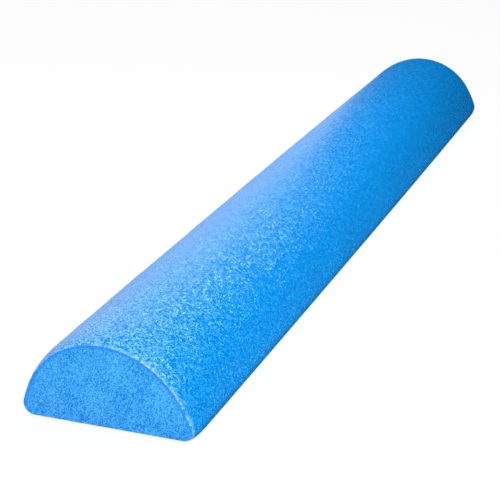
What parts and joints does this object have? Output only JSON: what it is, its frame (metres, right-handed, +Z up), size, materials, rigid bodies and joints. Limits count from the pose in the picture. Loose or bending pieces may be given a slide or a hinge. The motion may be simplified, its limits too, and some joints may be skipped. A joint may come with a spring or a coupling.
{
  "type": "half round foam roller",
  "caption": "Solid bar of closed-cell foam with a flat base, a domed top and square-cut ends, for balance, stretching and massage exercises.",
  "frame": {"origin": "middle of the flat base, at mid-length, where the bar rests on the floor", "axes": "+X along the bar, +Y across it, +Z up from the flat base to the crown"},
  "size_m": [0.9144, 0.1524, 0.0762],
  "materials": {
    "foam": "satin"
  },
  "bodies": {
    "root": {"foam_bar": "foam"}
  },
  "joints": []
}
